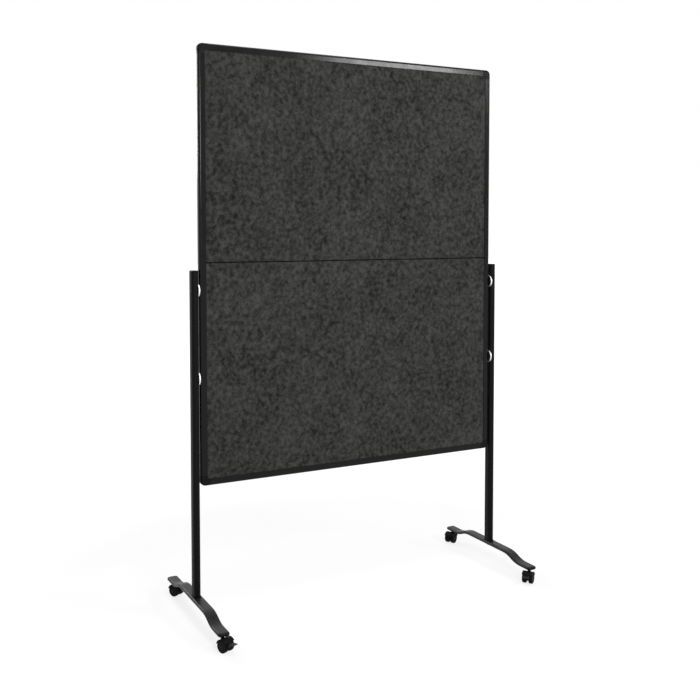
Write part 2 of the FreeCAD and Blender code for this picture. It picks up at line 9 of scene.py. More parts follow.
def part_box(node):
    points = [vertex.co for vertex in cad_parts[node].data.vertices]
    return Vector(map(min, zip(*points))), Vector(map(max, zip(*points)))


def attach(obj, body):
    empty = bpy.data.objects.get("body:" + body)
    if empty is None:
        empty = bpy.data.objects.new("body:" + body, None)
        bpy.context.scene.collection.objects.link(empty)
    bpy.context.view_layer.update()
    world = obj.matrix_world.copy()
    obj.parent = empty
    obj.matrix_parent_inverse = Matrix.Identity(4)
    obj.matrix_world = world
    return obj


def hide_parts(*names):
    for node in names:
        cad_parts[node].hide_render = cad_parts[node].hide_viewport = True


# Mobile pinboard: its finishes, felt covers, wheels and small details around the frame's solids.
# Metres, in the frame's axes: +Z is up, +X is to the viewer's right and the front faces -Y.

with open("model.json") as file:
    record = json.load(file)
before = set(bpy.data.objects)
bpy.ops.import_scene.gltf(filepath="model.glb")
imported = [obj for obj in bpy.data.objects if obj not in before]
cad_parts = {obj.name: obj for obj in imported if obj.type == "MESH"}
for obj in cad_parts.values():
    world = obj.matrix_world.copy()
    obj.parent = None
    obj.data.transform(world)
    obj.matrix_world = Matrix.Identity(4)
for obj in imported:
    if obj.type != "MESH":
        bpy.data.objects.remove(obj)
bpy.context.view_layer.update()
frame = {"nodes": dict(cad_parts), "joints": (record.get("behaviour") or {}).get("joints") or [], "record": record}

# Felt covers
felt_cell = 0.010
felt_thickness = 0.0024
felt_roll = 0.0048  # rounding of a front felt where it turns in at the seam
felt_part = 0.0014  # half the gap between the front felts at the front of the seam
felt_meet = 0.00002  # half the gap between felts where they meet
felt_tuck = 0.0003  # how far the frame's lips press a felt in
felt_waviness = 0.0002
felt_wave_count = 7  # waves to a metre
felt_calm = 0.06  # width beside a lip in which the waves grow
felt_clearance = 0.00005
lip_cover = 0.008  # width of felt under a lip
lip_fade = 0.006  # width of felt that rises beside a lip

# Wheels
wheel_segments = 72
tread_rounding = 0.0025
tread_width = 0.0036
tread_groove = 0.0004
rim_width = 0.005
rim_rounding = 0.0006
dish_depth = 0.002
hub_radius = 0.007
hub_rounding = 0.0008
hub_dimple = 0.0022
hub_dimple_depth = 0.0004
bore_radius = 0.00255
bore_depth = 0.0105
spoke_count = 9
spoke_thickness = 0.0011
spoke_drop = 0.0005  # top of a spoke below the rim

# Hinge screws
screw_segments = 28
screw_head_radius = 0.0034
screw_shank_radius = 0.0017
screw_length = 0.0138
screw_dome = 0.00018
cross_reach = 0.0019
cross_half_width = 0.00042
cross_depth = 0.0011

# Grip ribs of lock knobs and brake pedals
knob_rib_count = 5
knob_rib_spacing = 0.0024
knob_rib_length = 0.0046
knob_rib_radius = 0.0005
knob_face_depth = 0.0005  # depth in which points belong to the knob's face
pedal_rib_count = 4
pedal_rib_spacing = 0.0028
pedal_rib_start = 0.0100  # pivot to the first rib
pedal_rib_length = 0.0175
pedal_rib_radius = 0.0005
pedal_half_thickness = 0.00125
pedal_tilt = 6.0  # degrees above level at rest
rib_sides = 10
rib_sink = 0.6  # share of a rib's radius below the surface

# Meshes
rounding_steps = 5
fine_rounding_steps = 3
merge_distance = 1e-6
felt_smooth_angle = 40  # degrees between faces that are shaded as one
turned_smooth_angle = 35
rib_smooth_angle = 50

# Surface effects: noise scales to a metre, and the spans of a noise's value that show
noise_span = (0.3, 0.7)
grain_scale = 1800.0
grain_tone_scale = 70.0
grain_tone_span = (0.32, 0.68)
peel_scale = 650.0
rub_tone_span = (0.34, 0.7)
drawn_tone_scale = 22.0
drawn_tone_span = (0.38, 0.62)
drawn_tone_shares = (0.5, 0.5)  # fine lines and slow changes
dust_facing_span = (0.35, 0.95)  # upward part of a normal
dust_patch_scale = 95.0
dust_patch_span = (0.3, 0.75)
dust_roughness = 0.5  # added where dust is thickest
strand_scale = 900.0
strand_stretch = 0.14  # noise scale along a strand, as a share of that across it
strand_bend_scale = 160.0
strand_bend = 0.004
strand_span = (0.42, 0.78)
strand_tones = (-0.14, 0.32)
mottle_turn = (0.7, 0.4, 1.1)  # radians
mottle_scale = 66.0
mottle_share = 0.66
patch_scale = 22.0
patch_share = 0.17
slow_scale = 6.0
slow_share = 0.12
fibre_relief_shares = (0.7, 0.3)  # strands and mottle

# Camera, as solved from the photograph
camera_place = (-1.6218, -3.0203, 1.3459)
camera_turn = (90 - 2.766, 0.0, -27.979)
camera_lens = 47.92
camera_shift = (-0.0007, -0.1103)
camera_sensor = 36

# Stage
room_light = 0.2  # strength of the world as a light
background_light = 1.0  # strength of the world as the background
floor_shade = 0.86
floor_glow = 1.2  # makes up for the matt share's lower light
floor_half = 30.0
shadow_share = 0.35
shadow_reach = (1.1, 2.8)

UP = Vector((0, 0, 1))


# Node trees

def join(tree, socket, value):
    """Link a socket to another one, or give it a plain value."""
    if isinstance(value, bpy.types.NodeSocket):
        tree.links.new(value, socket)
    else:
        socket.default_value = value


def node(tree, kind, inputs=None, **settings):
    """Add a node with its settings, and fill its inputs by name or number."""
    made = tree.nodes.new(kind)
    for key, value in settings.items():
        setattr(made, key, value)
    for key, value in (inputs or {}).items():
        join(tree, made.inputs[key], value)
    return made


def math_of(tree, operation, *values):
    """Result of a Math node."""
    return node(tree, "ShaderNodeMath", dict(enumerate(values)), operation=operation).outputs[0]


def mixed(tree, factor, first, second):
    """Colour between two colours."""
    inputs = {0: factor, 6: first, 7: second}
    return node(tree, "ShaderNodeMix", inputs, data_type="RGBA").outputs[2]


def ranged(tree, value, from_low, from_high, to_low=0.0, to_high=1.0):
    """Value carried from one range to another and held inside it."""
    inputs = {0: value, 1: from_low, 2: from_high, 3: to_low, 4: to_high}
    return node(tree, "ShaderNodeMapRange", inputs).outputs[0]


def cloud(tree, place, scale, detail=2.0, roughness=0.5):
    """Value of a noise texture at a place."""
    inputs = {"Vector": place, "Scale": scale, "Detail": detail, "Roughness": roughness}
    return node(tree, "ShaderNodeTexNoise", inputs).outputs[0]


def stretched(tree, place, stretch):
    """Place, stretched along the axes."""
    return node(tree, "ShaderNodeVectorMath", {0: place, 1: stretch}, operation="MULTIPLY").outputs[0]


def object_place(tree):
    return node(tree, "ShaderNodeTexCoord").outputs["Object"]


def interface(tree, inputs, outputs):
    """Give a tree named inputs with their first values, and named outputs."""
    for label, (kind, value) in inputs.items():
        socket = tree.interface.new_socket(label, in_out="INPUT", socket_type=kind)
        if value is not None:
            socket.default_value = value
    for label, kind in outputs.items():
        tree.interface.new_socket(label, in_out="OUTPUT", socket_type=kind)
    return node(tree, "NodeGroupInput").outputs, node(tree, "NodeGroupOutput").inputs


# Effects that several finishes share

VALUE = "NodeSocketFloat"
VECTOR = "NodeSocketVector"


def grain_effect():
    """Spark-eroded grain of moulded plastic, with slow changes of tone."""
    tree = bpy.data.node_groups.new("moulded grain", "ShaderNodeTree")
    inputs = {"Place": (VECTOR, None), "Scale": (VALUE, grain_scale)}
    given, out = interface(tree, inputs, {"Tone": VALUE, "Relief": VALUE})
    fine = cloud(tree, given["Place"], given["Scale"], detail=2.0)
    slow = cloud(tree, given["Place"], grain_tone_scale, detail=4.0, roughness=0.6)
    join(tree, out["Relief"], ranged(tree, fine, *noise_span))
    join(tree, out["Tone"], ranged(tree, slow, *grain_tone_span))
    return tree


def coat_effect():
    """Orange peel of a sprayed and baked coat, with faint rub marks along the piece."""
    tree = bpy.data.node_groups.new("baked coat", "ShaderNodeTree")
    inputs = {"Place": (VECTOR, None), "Peel": (VALUE, peel_scale), "Rub": (VECTOR, None)}
    given, out = interface(tree, inputs, {"Tone": VALUE, "Relief": VALUE})
    peel = cloud(tree, given["Place"], given["Peel"], detail=1.0)
    rubs = cloud(tree, stretched(tree, given["Place"], given["Rub"]), 1.0, detail=5.0, roughness=0.62)
    join(tree, out["Relief"], ranged(tree, peel, *noise_span))
    join(tree, out["Tone"], ranged(tree, rubs, *rub_tone_span))
    return tree


def drawn_effect():
    """Fine lines left by drawing, turning or extruding metal."""
    tree = bpy.data.node_groups.new("drawn lines", "ShaderNodeTree")
    inputs = {"Place": (VECTOR, None), "Lines": (VECTOR, None)}
    given, out = interface(tree, inputs, {"Tone": VALUE, "Relief": VALUE})
    lines = cloud(tree, stretched(tree, given["Place"], given["Lines"]), 1.0, detail=3.0, roughness=0.6)
    slow = cloud(tree, given["Place"], drawn_tone_scale, detail=3.0)
    line_share, slow_part = drawn_tone_shares
    both = math_of(tree, "MULTIPLY_ADD", lines, line_share, math_of(tree, "MULTIPLY", slow, slow_part))
    join(tree, out["Relief"], ranged(tree, lines, *noise_span))
    join(tree, out["Tone"], ranged(tree, both, *drawn_tone_span))
    return tree


def dust_effect():
    """Mask of the dust that settles on surfaces that face up."""
    tree = bpy.data.node_groups.new("settled dust", "ShaderNodeTree")
    inputs = {"Place": (VECTOR, None), "Amount": (VALUE, None)}
    given, out = interface(tree, inputs, {"Mask": VALUE})
    normal = node(tree, "ShaderNodeNewGeometry").outputs["Normal"]
    upward = node(tree, "ShaderNodeSeparateXYZ", {0: normal}).outputs["Z"]
    facing = ranged(tree, upward, *dust_facing_span)
    speckle = cloud(tree, given["Place"], dust_patch_scale, detail=6.0, roughness=0.7)
    settled = math_of(tree, "MULTIPLY", facing, ranged(tree, speckle, *dust_patch_span))
    join(tree, out["Mask"], math_of(tree, "MULTIPLY", settled, given["Amount"]))
    return tree


def fibre_effect():
    """Matted fibres: strands that lie in two directions over soft clouds."""
    tree = bpy.data.node_groups.new("matted fibres", "ShaderNodeTree")
    inputs = {"Place": (VECTOR, None), "Mottle": (VALUE, mottle_scale), "Strand": (VALUE, strand_scale)}
    given, out = interface(tree, inputs, {"Tone": VALUE, "Relief": VALUE})
    inputs = {"Vector": given["Place"], "Scale": strand_bend_scale, "Detail": 1.0}
    bend = node(tree, "ShaderNodeTexNoise", inputs).outputs["Color"]
    swing = stretched(tree, bend, (strand_bend, strand_bend, strand_bend))
    place = node(tree, "ShaderNodeVectorMath", {0: given["Place"], 1: swing}, operation="ADD").outputs[0]
    level = cloud(tree, stretched(tree, place, (strand_stretch, 1.0, 1.0)), given["Strand"], detail=2.0)
    steep = cloud(tree, stretched(tree, place, (1.0, 1.0, strand_stretch)), given["Strand"], detail=2.0)
    strands = math_of(tree, "MAXIMUM", level, steep)
    inputs = {"Vector": place, "Rotation": mottle_turn}
    turned = node(tree, "ShaderNodeVectorRotate", inputs, rotation_type="EULER_XYZ").outputs[0]
    mottle = cloud(tree, turned, given["Mottle"], detail=2.0, roughness=0.6)
    patches = cloud(tree, turned, patch_scale, detail=1.0)
    slow = cloud(tree, turned, slow_scale, detail=1.0)
    tone = math_of(tree, "MULTIPLY", ranged(tree, mottle, *noise_span), mottle_share)
    tone = math_of(tree, "MULTIPLY_ADD", ranged(tree, patches, *noise_span), patch_share, tone)
    tone = math_of(tree, "MULTIPLY_ADD", ranged(tree, slow, *noise_span), slow_share, tone)
    lift = ranged(tree, strands, *strand_span, *strand_tones)
    join(tree, out["Tone"], math_of(tree, "ADD", lift, tone))
    strand_part, mottle_part = fibre_relief_shares
    ground = math_of(tree, "MULTIPLY", mottle, mottle_part)
    join(tree, out["Relief"], math_of(tree, "MULTIPLY_ADD", strands, strand_part, ground))
    return tree


def build_effects():
    return {
        "grain": grain_effect(),
        "coat": coat_effect(),
        "drawn": drawn_effect(),
        "dust": dust_effect(),
        "fibres": fibre_effect(),
    }


# Finishes

dust_colour = (0.30, 0.29, 0.27, 1)


def grey(level):
    return (level, level, level, 1)


def greys(dark, light):
    return grey(dark), grey(light)


def finish(name, effect, settings, shades, roughness, relief, dust=0.0, constants=None):
    """A finish whose effect moves its shade and roughness and raises its relief, under a little dust."""
    material = bpy.data.materials.new(name)
    material.use_nodes = True
    tree = material.node_tree
    shader = tree.nodes["Principled BSDF"]
    for socket, value in (constants or {}).items():
        shader.inputs[socket].default_value = value
    place = object_place(tree)
    texture = node(tree, "ShaderNodeGroup", node_tree=effects[effect])
    join(tree, texture.inputs["Place"], place)
    for socket, value in settings.items():
        texture.inputs[socket].default_value = value
    colour = mixed(tree, texture.outputs["Tone"], shades[0], shades[1])
    rough = ranged(tree, texture.outputs["Tone"], 0.0, 1.0, roughness[0], roughness[1])
    if dust:
        film = node(tree, "ShaderNodeGroup", node_tree=effects["dust"])
        join(tree, film.inputs["Place"], place)
        film.inputs["Amount"].default_value = dust
        colour = mixed(tree, film.outputs["Mask"], colour, dust_colour)
        rough = math_of(tree, "MULTIPLY_ADD", film.outputs["Mask"], dust_roughness, rough)
    join(tree, shader.inputs["Base Color"], colour)
    join(tree, shader.inputs["Roughness"], rough)
    inputs = {"Height": texture.outputs["Relief"], "Strength": 1.0, "Distance": relief}
    join(tree, shader.inputs["Normal"], node(tree, "ShaderNodeBump", inputs).outputs[0])
    return material


def felt():
    shades = ((0.0035, 0.0036, 0.0032, 1), (0.0800, 0.0815, 0.0765, 1))
    constants = {"Sheen Weight": 0.03, "Sheen Roughness": 0.6, "Specular IOR Level": 0.08}
    return finish("pressed felt", "fibres", {}, shades, roughness=(0.92, 1.0), relief=0.0004,
                  constants=constants)


def fibreboard():
    shades = ((0.36, 0.26, 0.16, 1), (0.52, 0.40, 0.27, 1))
    settings = {"Mottle": 60.0, "Strand": 500.0}
    return finish("soft fibreboard", "fibres", settings, shades, roughness=(0.85, 0.95), relief=0.0004)


def softwood():
    shades = ((0.46, 0.29, 0.15, 1), (0.68, 0.50, 0.31, 1))
    settings = {"Lines": (12.0, 420.0, 420.0)}
    return finish("planed softwood", "drawn", settings, shades, roughness=(0.55, 0.75), relief=0.0002)


def anodised(name, lines):
    """Black anodised extrusion, with its lines along one axis."""
    shades = greys(0.0015, 0.0035)
    constants = {"Specular IOR Level": 0.17}
    return finish(name, "drawn", {"Lines": lines}, shades, roughness=(0.15, 0.22), relief=0.00001,
                  dust=0.02, constants=constants)


def moulded(name, shades, roughness, dust=0.05, specular=0.2):
    constants = {"Specular IOR Level": specular}
    return finish(name, "grain", {}, shades, roughness, relief=0.00006, dust=dust, constants=constants)


def coated(name, shades, roughness, rub, dust=0.04, specular=0.3):
    """Powder coat with rub marks along one axis."""
    constants = {"Specular IOR Level": specular}
    return finish(name, "coat", {"Rub": rub}, shades, roughness, relief=0.00005, dust=dust,
                  constants=constants)


def bright(name, shades, roughness, lines):
    """Bare or plated metal."""
    constants = {"Metallic": 1.0}
    return finish(name, "drawn", {"Lines": lines}, shades, roughness, relief=0.000006, constants=constants)


def build_finishes():
    """The finishes by their slot names, with those that differ by direction under names of their own."""
    return {
        "felt": felt(),
        "fibreboard": fibreboard(),
        "softwood": softwood(),
        "rail_black": anodised("upright anodised rail", lines=(700.0, 700.0, 9.0)),
        "level_rail_black": anodised("level anodised rail", lines=(9.0, 700.0, 700.0)),
        "moulded_black": moulded("black moulding", greys(0.002, 0.004), roughness=(0.34, 0.44),
                                 specular=0.10),
        "tube_black": coated("black tube coat", greys(0.0015, 0.0035), roughness=(0.44, 0.54),
                             rub=(160.0, 160.0, 14.0), specular=0.09),
        "foot_grey": coated("grey foot coat", greys(0.008, 0.014), roughness=(0.30, 0.40),
                            rub=(120.0, 18.0, 120.0), dust=0.05, specular=0.14),
        "spacer_chrome": bright("chromed spacer", greys(0.80, 0.90), roughness=(0.28, 0.38),
                                lines=(60.0, 500.0, 500.0)),
        "soft_black": moulded("soft black washer", greys(0.006, 0.012), roughness=(0.6, 0.75), dust=0.0),
        "zinc_steel": bright("zinc steel", greys(0.50, 0.66), roughness=(0.22, 0.36),
                             lines=(300.0, 300.0, 40.0)),
        "hinge_black": coated("black hinge coat", greys(0.005, 0.011), roughness=(0.36, 0.46),
                              rub=(200.0, 60.0, 200.0)),
        "castor_black": moulded("castor moulding", greys(0.0010, 0.0030), roughness=(0.32, 0.44),
                                specular=0.06),
        "wheel_black": moulded("wheel centre moulding", greys(0.006, 0.014), roughness=(0.42, 0.55),
                               specular=0.08),
        "tread_black": moulded("wheel tread", greys(0.002, 0.005), roughness=(0.55, 0.72), specular=0.06),
        "pedal_grey": moulded("pedal moulding", greys(0.014, 0.026), roughness=(0.42, 0.55), specular=0.12),
    }


# Making pieces

def new_piece(name, mesh):
    piece = bpy.data.objects.new(name, mesh)
    bpy.context.scene.collection.objects.link(piece)
    return piece


def made_plain(piece):
    """Turn a piece with modifiers into a plain mesh under the same name."""
    bpy.context.view_layer.update()
    graph = bpy.context.evaluated_depsgraph_get()
    mesh = bpy.data.meshes.new_from_object(piece.evaluated_get(graph))
    name = piece.name
    bpy.data.objects.remove(piece)
    return new_piece(name, mesh)


def settle(piece, body, slot, *replaced):
    """Let a finished piece ride on a body and stand for the nodes that it replaces."""
    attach(piece, body)
    if replaced:
        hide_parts(*replaced)
    return piece


def shade_smooth(mesh, angle):
    mesh.shade_smooth()
    mesh.set_sharp_from_angle(angle=math.radians(angle))


def across(axis, start):
    """Matrix that puts local Z along an axis and the local origin at a start point."""
    turn = UP.rotation_difference(axis).to_matrix().to_4x4()
    return Matrix.Translation(start) @ turn


def lathe(outline, segments, place):
    """Mesh turned about local Z from a list of radius and height, then put in place."""
    shape = bmesh.new()
    points = [shape.verts.new((radius, 0, height)) for radius, height in outline]
    edges = [shape.edges.new(pair) for pair in zip(points, points[1:])]
    bmesh.ops.spin(shape, geom=points + edges, cent=(0, 0, 0), axis=(0, 0, 1), angle=2 * math.pi,
                   steps=segments, use_merge=True)
    bmesh.ops.remove_doubles(shape, verts=shape.verts, dist=merge_distance)
    bmesh.ops.recalc_face_normals(shape, faces=shape.faces)
    shape.transform(place)
    return shape


def arc(centre, radius, start, end, steps):
    """Points of an arc between two angles in degrees, both ends among them."""
    turns = [math.radians(start + (end - start) * step / steps) for step in range(steps + 1)]
    return [(centre[0] + radius * math.cos(turn), centre[1] + radius * math.sin(turn)) for turn in turns]


def as_mesh(shape, name):
    mesh = bpy.data.meshes.new(name)
    shape.to_mesh(mesh)
    shape.free()
    return mesh


# Felt covers

def eased(share):
    """Smooth step between 0 and 1."""
    share = min(max(share, 0.0), 1.0)
    return share * share * (3 - 2 * share)


def felt_steps(length, both_ends):
    """Places of a felt's grid lines along a length, closer together beside a lip."""
    beside_lip = [0.0, lip_cover, lip_cover + lip_fade / 3, lip_cover + 2 * lip_fade / 3,
                  lip_cover + lip_fade]
    far = length - beside_lip[-1] if both_ends else length
    count = round((far - beside_lip[-1]) / felt_cell)
    inner = [beside_lip[-1] + (far - beside_lip[-1]) * step / count for step in range(1, count + 1)]
    tail = [length - place for place in reversed(beside_lip[:-1])] if both_ends else []
    return beside_lip + inner + tail


def felt_depth(across_way, up_way, width):
    """How far a felt lies behind its highest face, from its place across and above its outer edge."""
    inside = min(across_way, width - across_way, up_way) - lip_cover
    free = eased(inside / lip_fade)
    wave = noise.noise(Vector((across_way * felt_wave_count, up_way * felt_wave_count, width))) * 0.5 + 0.5
    return felt_tuck * (1 - free) + felt_waviness * wave * eased(inside / felt_calm)


def felt_cover(name, cad_node, body, faces_front):
    """Felt stretched over one face of a board half; a front felt turns in at the seam."""
    low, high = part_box(cad_node)
    seam_above = (low.z + high.z) / 2 < seam_height
    outer_edge = low.z if seam_above else high.z
    upwards = 1 if seam_above else -1
    inwards = 1 if faces_front else -1
    face = low.y + felt_clearance if faces_front else high.y - felt_clearance
    width = high.x - low.x
    height = abs(seam_height - outer_edge) - (felt_part if faces_front else felt_meet)
    columns = felt_steps(width, True)
    straight = height - felt_roll if faces_front else height
    rows = [(step, 0.0) for step in felt_steps(straight, False)]
    if faces_front:
        roll = arc((straight, felt_roll), felt_roll, -90, 0, rounding_steps)
        turn_in = high.y - low.y - felt_clearance
        rows += roll[1:]
        rows += [(height, (felt_roll + turn_in) / 2), (height + felt_part - felt_meet, turn_in)]
    shape = bmesh.new()
    lines = []
    for up_way, depth in rows:
        line = []
        for across_way in columns:
            dip = felt_depth(across_way, up_way, width) * max(0.0, 1 - depth / felt_roll)
            place = (low.x + across_way, face + inwards * (depth + dip), outer_edge + upwards * up_way)
            line.append(shape.verts.new(place))
        lines.append(line)
    for first, second in zip(lines, lines[1:]):
        for left in range(len(columns) - 1):
            corners = [first[left], first[left + 1], second[left + 1], second[left]]
            shape.faces.new(corners if upwards * inwards > 0 else corners[::-1])
    mesh = as_mesh(shape, name)
    mesh.materials.append(finishes["felt"])
    piece = new_piece(name, mesh)
    wall = piece.modifiers.new("thickness", "SOLIDIFY")
    wall.thickness = felt_thickness
    wall.offset = -1
    piece = made_plain(piece)
    shade_smooth(piece.data, felt_smooth_angle)
    settle(piece, body, "felt", cad_node)


def build_felts():
    for half, body in (("lower", "stand"), ("upper", "upper_board")):
        for face in ("front", "back"):
            cad_node = "%s_felt_%s" % (half, face)
            felt_cover("%s_%s_felt" % (half, face), cad_node, body, face == "front")


# Repeated details

INTEGER = "NodeSocketInt"
GEOMETRY = "NodeSocketGeometry"
OBJECT = "NodeSocketObject"
MATERIAL = "NodeSocketMaterial"


def finish_tree(tree, instances, given, out):
    """End a tree of copies: make them real and give them their material."""
    real = node(tree, "GeometryNodeRealizeInstances", {0: instances}).outputs[0]
    inputs = {"Geometry": real, "Material": given["Material"]}
    join(tree, out["Geometry"], node(tree, "GeometryNodeSetMaterial", inputs).outputs[0])
    return tree


def rounded_bar(tree, length, radius, sides):
    """Bar along X, with its middle at the origin."""
    half = math_of(tree, "MULTIPLY", length, 0.5)
    minus = math_of(tree, "MULTIPLY", half, -1.0)
    start = node(tree, "ShaderNodeCombineXYZ", {"X": minus}).outputs[0]
    end = node(tree, "ShaderNodeCombineXYZ", {"X": half}).outputs[0]
    line = node(tree, "GeometryNodeCurvePrimitiveLine", {"Start": start, "End": end}).outputs[0]
    inputs = {"Resolution": sides, "Radius": radius}
    ring = node(tree, "GeometryNodeCurvePrimitiveCircle", inputs).outputs[0]
    inputs = {"Curve": line, "Profile Curve": ring, "Fill Caps": True}
    return node(tree, "GeometryNodeCurveToMesh", inputs).outputs[0]


def ribs_tree():
    """Row of rounded ribs along local Y."""
    tree = bpy.data.node_groups.new("grip ribs", "GeometryNodeTree")
    inputs = {"Geometry": (GEOMETRY, None), "Count": (INTEGER, None), "Spacing": (VALUE, None),
              "Length": (VALUE, None), "Radius": (VALUE, None), "Sides": (INTEGER, None),
              "Material": (MATERIAL, None)}
    given, out = interface(tree, inputs, {"Geometry": GEOMETRY})
    step = node(tree, "ShaderNodeCombineXYZ", {"Y": given["Spacing"]}).outputs[0]
    row = node(tree, "GeometryNodeMeshLine", {"Count": given["Count"], "Offset": step}).outputs[0]
    rib = rounded_bar(tree, given["Length"], given["Radius"], given["Sides"])
    copies = node(tree, "GeometryNodeInstanceOnPoints", {"Points": row, "Instance": rib}).outputs[0]
    return finish_tree(tree, copies, given, out)


def spokes_tree():
    """Ring of spokes round local Z."""
    tree = bpy.data.node_groups.new("wheel spokes", "GeometryNodeTree")
    inputs = {"Geometry": (GEOMETRY, None), "Count": (INTEGER, None), "Middle": (VALUE, None),
              "Length": (VALUE, None), "Radius": (VALUE, None), "Sides": (INTEGER, None),
              "Material": (MATERIAL, None)}
    given, out = interface(tree, inputs, {"Geometry": GEOMETRY})
    inputs = {"Vertices": given["Count"], "Radius": given["Middle"]}
    ring = node(tree, "GeometryNodeMeshCircle", inputs).outputs[0]
    outwards = node(tree, "GeometryNodeInputPosition").outputs[0]
    turn = node(tree, "FunctionNodeAlignRotationToVector", {"Vector": outwards}, axis="X").outputs[0]
    spoke = rounded_bar(tree, given["Length"], given["Radius"], given["Sides"])
    inputs = {"Points": ring, "Instance": spoke, "Rotation": turn}
    copies = node(tree, "GeometryNodeInstanceOnPoints", inputs).outputs[0]
    return finish_tree(tree, copies, given, out)


def screws_tree():
    """A screw at every point, each turned by a different angle about Y."""
    tree = bpy.data.node_groups.new("screws", "GeometryNodeTree")
    inputs = {"Geometry": (GEOMETRY, None), "Screw": (OBJECT, None), "Seed": (INTEGER, None),
              "Material": (MATERIAL, None)}
    given, out = interface(tree, inputs, {"Geometry": GEOMETRY})
    screw = node(tree, "GeometryNodeObjectInfo", {"Object": given["Screw"]}).outputs["Geometry"]
    inputs = {"Min": (0, 0, 0), "Max": (0, math.pi / 2, 0), "Seed": given["Seed"]}
    angle = node(tree, "FunctionNodeRandomValue", inputs, data_type="FLOAT_VECTOR").outputs[0]
    turn = node(tree, "FunctionNodeEulerToRotation", {0: angle}).outputs[0]
    inputs = {"Points": given["Geometry"], "Instance": screw, "Rotation": turn}
    copies = node(tree, "GeometryNodeInstanceOnPoints", inputs).outputs[0]
    return finish_tree(tree, copies, given, out)


def grown(name, mesh, tree, values):
    """Plain mesh of a tree of copies, from a start mesh and the tree's named inputs."""
    piece = new_piece(name, mesh)
    modifier = piece.modifiers.new("copies", "NODES")
    modifier.node_group = tree
    for socket in tree.interface.items_tree:
        if socket.in_out == "INPUT" and socket.name in values:
            modifier[socket.identifier] = values[socket.name]
    return made_plain(piece)


# Castor wheels

def wheel_outline(radius, width):
    """Radius and height of a wheel's surface, from its bore round its tread to its hub's middle."""
    rim_inside = radius - rim_width
    floor = width - dish_depth
    tread_end = radius - tread_width
    outline = [(0.0, bore_depth), (bore_radius, bore_depth), (bore_radius, 0.0)]
    round_middle = radius - tread_rounding
    outline += arc((round_middle, tread_rounding), tread_rounding, -90, 0, rounding_steps)
    outline += arc((round_middle, width - tread_rounding), tread_rounding, 0, 90, rounding_steps)
    outline += [(tread_end + tread_groove, width), (tread_end, width - tread_groove)]
    outline += [(tread_end - tread_groove, width)]
    rim_middle = (rim_inside + rim_rounding, width - rim_rounding)
    outline += arc(rim_middle, rim_rounding, 90, 180, fine_rounding_steps)
    outline += [(rim_inside, floor + rim_rounding), (rim_inside - rim_rounding, floor)]
    outline += [(hub_radius + hub_rounding, floor), (hub_radius, floor + hub_rounding)]
    hub_middle = (hub_radius - hub_rounding, width - hub_rounding)
    outline += arc(hub_middle, hub_rounding, 0, 90, fine_rounding_steps)
    dimple_floor = width - hub_dimple_depth
    outline += [(hub_dimple, width), (hub_dimple - hub_dimple_depth, dimple_floor), (0.0, dimple_floor)]
    return outline


def wheel(joint, spokes):
    """Wheel with its tread, dished face and spokes, for a wheel's spin joint."""
    body = joint["child"]
    axis = Vector(joint["axis"])
    hub = Vector(joint["pos_m"])
    reach = [(vertex.co - hub).dot(axis) for vertex in frame["nodes"][body].data.vertices]
    if max(reach) < -min(reach):
        axis = -axis
        reach = [-value for value in reach]
    low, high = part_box(body)
    radius = (high.z - low.z) / 2
    width = max(reach) - min(reach)
    place = across(axis, hub + axis * min(reach))
    shape = lathe(wheel_outline(radius, width), wheel_segments, place)
    tread_inside = radius - tread_width
    for face in shape.faces:
        offset = face.calc_center_median() - hub
        from_axle = (offset - axis * offset.dot(axis)).length
        face.material_index = 1 if from_axle > tread_inside else 0
    mesh = as_mesh(shape, body + "_dressed")
    mesh.materials.append(finishes["wheel_black"])
    mesh.materials.append(finishes["tread_black"])
    shade_smooth(mesh, turned_smooth_angle)
    settle(new_piece(body + "_dressed", mesh), body, "wheel_black", body)
    spoke_values = {
        "Count": spoke_count,
        "Middle": (hub_radius + radius - rim_width) / 2,
        "Length": radius - rim_width - hub_radius + 2 * rim_rounding,
        "Radius": spoke_thickness,
        "Sides": rib_sides,
        "Material": finishes["wheel_black"],
    }
    ring = grown(body + "_spokes", bpy.data.meshes.new(body + "_spokes"), spokes, spoke_values)
    ring.data.transform(place @ Matrix.Translation((0, 0, width - spoke_drop - spoke_thickness)))
    shade_smooth(ring.data, rib_smooth_angle)
    settle(ring, body, "wheel_black")


def build_wheels():
    spokes = spokes_tree()
    for joint in frame["joints"]:
        if joint["name"].endswith("_spin"):
            wheel(joint, spokes)


# Hinge screws

def cross_outline():
    """Corners of the cross recess, in order round the screw's axis."""
    reach, half = cross_reach, cross_half_width
    arm = [(reach, -half), (reach, half), (half, half)]
    points = []
    for quarter in range(4):
        turn = Matrix.Rotation(quarter * math.pi / 2, 2)
        points += [turn @ Vector(point) for point in arm]
    return points


